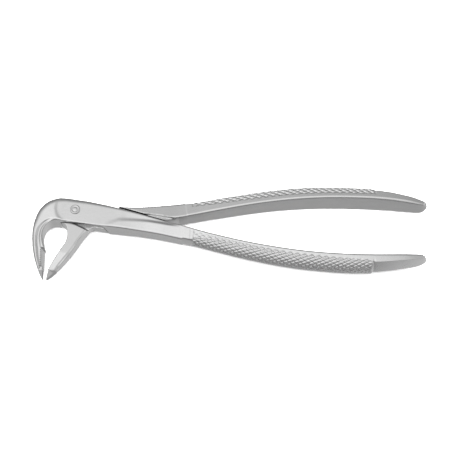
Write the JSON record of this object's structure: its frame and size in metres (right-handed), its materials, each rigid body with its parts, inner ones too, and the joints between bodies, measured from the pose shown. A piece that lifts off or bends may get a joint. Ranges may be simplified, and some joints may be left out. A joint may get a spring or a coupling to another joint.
{
  "type": "extraction forceps",
  "caption": "Hand forceps with a riveted lap joint, beaks turned square to the handles, serrated jaws and knurled handles.",
  "frame": {"origin": "where the pivot axis meets the flat underside of the joint", "axes": "+Z along the pivot from the underside towards the round rivet head, +X between the handles towards their ends, beaks turned towards -Y"},
  "size_m": [0.1689, 0.0498, 0.0122],
  "materials": {
    "satin_steel": "satin polished stainless steel",
    "rivet_steel": "turned and polished stainless steel"
  },
  "bodies": {
    "front": {"front_half": "satin_steel", "pivot_rivet": "rivet_steel"},
    "back": {"back_half": "satin_steel"}
  },
  "joints": [
    {"name": "jaw_pivot", "type": "hinge", "parent": "front", "child": "back", "pos_m": [0, 0, 0], "axis": [0, 0, 1], "range_deg": [0, 20]}
  ]
}
